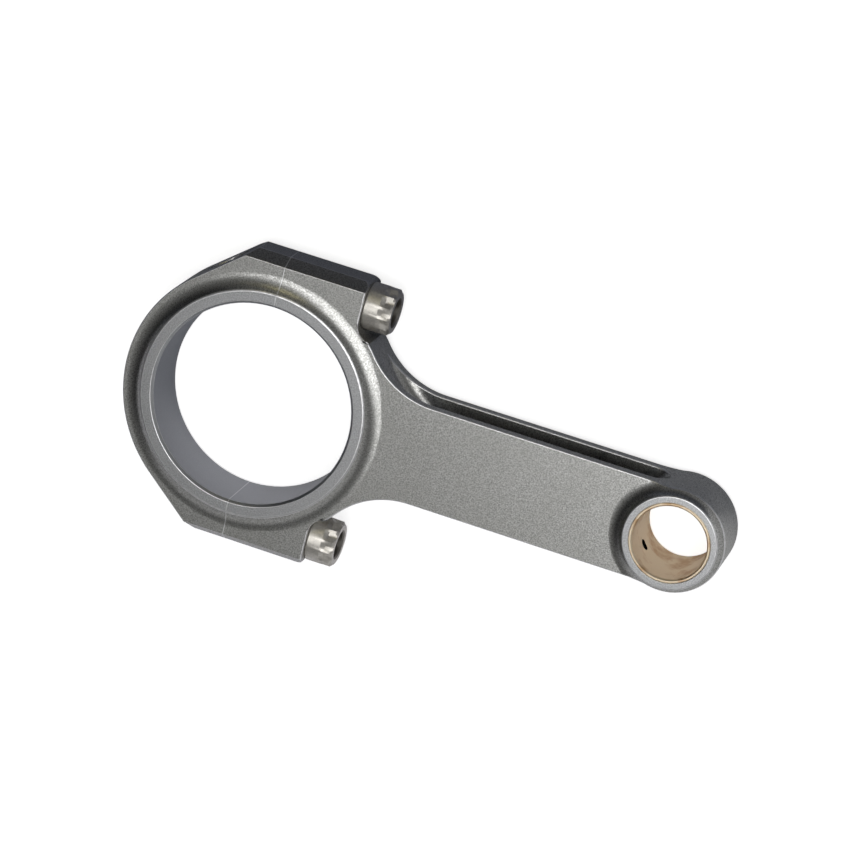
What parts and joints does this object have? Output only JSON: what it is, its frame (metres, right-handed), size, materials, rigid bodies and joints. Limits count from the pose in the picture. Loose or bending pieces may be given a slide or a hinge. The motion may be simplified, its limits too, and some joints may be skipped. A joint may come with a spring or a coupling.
{
  "type": "connecting rod",
  "caption": "H section steel connecting rod with a split big end held by cap screws and a bronze bush in the small end.",
  "frame": {"origin": "centre of the big end bore, midway between the thrust faces and on the parting face", "axes": "+X from the big end to the small end, +Y across the beam towards the upper screw, +Z along both bores"},
  "size_m": [0.1866, 0.09, 0.0242],
  "materials": {
    "rod_steel": "shot-peened alloy steel, ground on the thrust faces and bores",
    "cap_steel": "shot-peened alloy steel, ground on the thrust faces and bores",
    "bush_bronze": "fine-bored bronze",
    "screw_steel": "turned and centreless-ground high-tensile steel, warm satin",
    "sleeve_steel": "ground steel"
  },
  "bodies": {
    "rod": {"rod_body": "rod_steel", "small_end_bush": "bush_bronze"},
    "cap": {"rod_cap": "cap_steel", "dowel_sleeve_upper": "sleeve_steel", "dowel_sleeve_lower": "sleeve_steel"},
    "screw_upper": {"cap_screw_upper": "screw_steel"},
    "screw_lower": {"cap_screw_lower": "screw_steel"}
  },
  "joints": [
    {"name": "cap_draw", "type": "slide", "parent": "rod", "child": "cap", "axis": [-1, 0, 0], "range_m": [0, 0.0135]},
    {"name": "screw_upper_turn", "type": "hinge", "parent": "rod", "child": "screw_upper", "pos_m": [0.0251, 0.0371, 0], "axis": [1, 0, 0], "range_deg": [0, 4600]},
    {"name": "screw_lower_turn", "type": "hinge", "parent": "rod", "child": "screw_lower", "pos_m": [0.0251, -0.0371, 0], "axis": [1, 0, 0], "range_deg": [0, 4600]}
  ],
  "couplings": [
    {"joint": "screw_upper_turn", "follows": "cap_draw", "rad_per_m": 5927.5},
    {"joint": "screw_lower_turn", "follows": "cap_draw", "rad_per_m": 5927.5}
  ]
}
